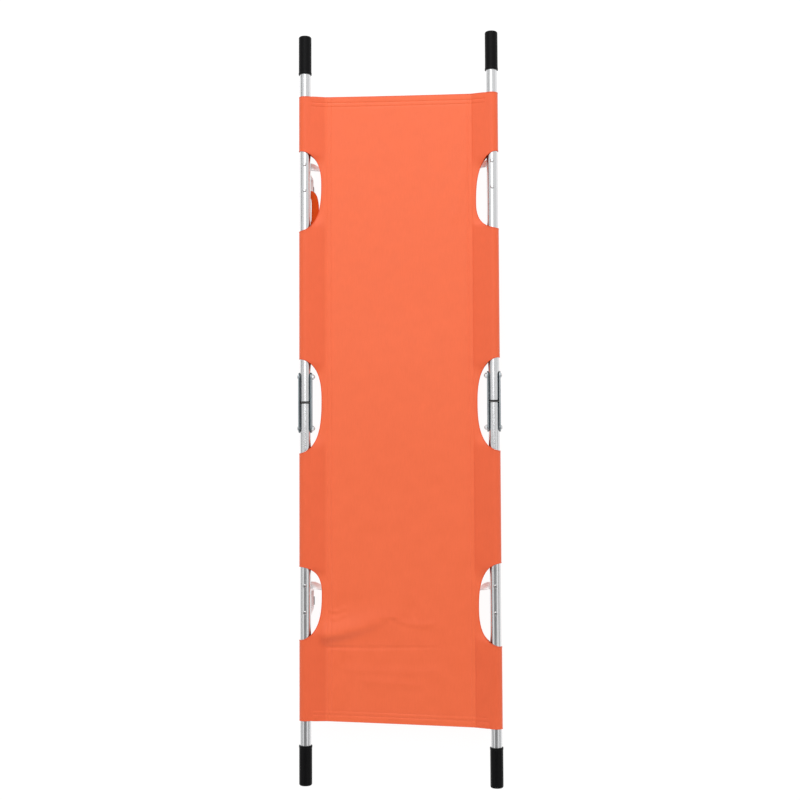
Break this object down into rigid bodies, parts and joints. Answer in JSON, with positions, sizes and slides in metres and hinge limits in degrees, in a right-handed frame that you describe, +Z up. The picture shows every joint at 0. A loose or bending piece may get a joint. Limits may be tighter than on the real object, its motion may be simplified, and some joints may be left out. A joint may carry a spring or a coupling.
{
  "type": "folding stretcher",
  "caption": "Folding stretcher: two middle-hinged aluminium poles with rubber grips, a cloth bed with hand cutouts, low strip legs and folding spreaders",
  "frame": {"origin": "on the floor, below the middle of the stretcher's length and width", "axes": "+X across the bed, +Y along the poles towards the head end, +Z up"},
  "size_m": [0.5602, 2.05, 0.1231],
  "materials": {
    "pole_tube": "drawn aluminium tube, satin with fine lengthwise lines",
    "grip_rubber": "black moulded rubber",
    "plug_plastic": "black moulded plastic",
    "zinc_steel": "bright zinc plated steel",
    "rivet_steel": "bright plated steel",
    "link_steel": "dark blue-grey zinc plated steel sheet",
    "leg_strip": "plated flat steel strip",
    "spreader_steel": "plated flat steel bar",
    "foot_rubber": "dark rubber",
    "bed_cloth": "orange coated polyester cloth, fine plain weave",
    "webbing": "dark orange woven webbing"
  },
  "bodies": {
    "pole_left_head": {"tube_left_head": "pole_tube", "grip_left_head": "grip_rubber", "end_plug_left_head": "plug_plastic", "pivot_bush_left_head": "zinc_steel", "leg_bracket_left_head": "leg_strip", "foot_pad_left_head": "foot_rubber", "rivets_left_head": "rivet_steel", "bed_pocket_left_head": "bed_cloth", "bed_head": "bed_cloth", "tie_loop": "webbing"},
    "pole_left_foot": {"tube_left_foot": "pole_tube", "grip_left_foot": "grip_rubber", "end_plug_left_foot": "plug_plastic", "pivot_bush_left_foot": "zinc_steel", "leg_bracket_left_foot": "leg_strip", "foot_pad_left_foot": "foot_rubber", "rivets_left_foot": "rivet_steel", "bed_pocket_left_foot": "bed_cloth", "bed_foot": "bed_cloth"},
    "link_left": {"link_plate_left_outer": "link_steel", "link_plate_left_inner": "link_steel", "pivot_bolts_left": "zinc_steel", "pivot_nuts_left": "zinc_steel", "bed_middle": "bed_cloth"},
    "pole_right_head": {"tube_right_head": "pole_tube", "grip_right_head": "grip_rubber", "end_plug_right_head": "plug_plastic", "pivot_bush_right_head": "zinc_steel", "leg_bracket_right_head": "leg_strip", "foot_pad_right_head": "foot_rubber", "rivets_right_head": "rivet_steel", "bed_pocket_right_head": "bed_cloth"},
    "pole_right_foot": {"tube_right_foot": "pole_tube", "grip_right_foot": "grip_rubber", "end_plug_right_foot": "plug_plastic", "pivot_bush_right_foot": "zinc_steel", "leg_bracket_right_foot": "leg_strip", "foot_pad_right_foot": "foot_rubber", "rivets_right_foot": "rivet_steel", "bed_pocket_right_foot": "bed_cloth"},
    "link_right": {"link_plate_right_outer": "link_steel", "link_plate_right_inner": "link_steel", "pivot_bolts_right": "zinc_steel", "pivot_nuts_right": "zinc_steel"},
    "arm_left_head": {"spreader_arm_left_head": "spreader_steel", "centre_pin_head": "rivet_steel"},
    "arm_right_head": {"spreader_arm_right_head": "spreader_steel"},
    "arm_left_foot": {"spreader_arm_left_foot": "spreader_steel", "centre_pin_foot": "rivet_steel"},
    "arm_right_foot": {"spreader_arm_right_foot": "spreader_steel"}
  },
  "joints": [
    {"name": "spreader_fold", "type": "hinge", "parent": "pole_left_head", "child": "arm_left_head", "pos_m": [-0.2575, 0.6645, 0.085], "axis": [0, 0, 1], "range_deg": [0, 82], "deforming": ["bed_head", "bed_middle", "bed_foot"]},
    {"name": "spreader_centre_head", "type": "hinge", "parent": "arm_left_head", "child": "arm_right_head", "pos_m": [0, 0.6645, 0.085], "axis": [0, 0, 1], "range_deg": [-164, 0]},
    {"name": "spreader_right_head", "type": "hinge", "parent": "arm_right_head", "child": "pole_right_head", "pos_m": [0.2575, 0.6645, 0.085], "axis": [0, 0, 1], "range_deg": [0, 82]},
    {"name": "spreader_left_foot", "type": "hinge", "parent": "pole_left_foot", "child": "arm_left_foot", "pos_m": [-0.2575, -0.4895, 0.085], "axis": [0, 0, 1], "range_deg": [0, 82]},
    {"name": "spreader_right_foot", "type": "hinge", "parent": "pole_right_foot", "child": "arm_right_foot", "pos_m": [0.2575, -0.4895, 0.085], "axis": [0, 0, 1], "range_deg": [-82, 0]},
    {"name": "length_fold", "type": "hinge", "parent": "pole_left_head", "child": "link_left", "pos_m": [-0.2575, 0.079, 0.105], "axis": [1, 0, 0], "range_deg": [0, 90]},
    {"name": "length_fold_left_foot", "type": "hinge", "parent": "link_left", "child": "pole_left_foot", "pos_m": [-0.2575, -0.062, 0.105], "axis": [1, 0, 0], "range_deg": [0, 90]},
    {"name": "length_fold_right_link", "type": "hinge", "parent": "pole_right_head", "child": "link_right", "pos_m": [0.2575, 0.079, 0.105], "axis": [1, 0, 0], "range_deg": [0, 90]},
    {"name": "length_fold_right_foot", "type": "hinge", "parent": "link_right", "child": "pole_right_foot", "pos_m": [0.2575, -0.062, 0.105], "axis": [1, 0, 0], "range_deg": [0, 90]}
  ],
  "couplings": [
    {"joint": "spreader_centre_head", "follows": "spreader_fold", "ratio": -2},
    {"joint": "spreader_right_head", "follows": "spreader_fold", "ratio": 1},
    {"joint": "spreader_left_foot", "follows": "spreader_fold", "ratio": 1},
    {"joint": "spreader_right_foot", "follows": "spreader_fold", "ratio": -1},
    {"joint": "length_fold_left_foot", "follows": "length_fold", "ratio": 1},
    {"joint": "length_fold_right_link", "follows": "length_fold", "ratio": 1},
    {"joint": "length_fold_right_foot", "follows": "length_fold", "ratio": 1}
  ]
}
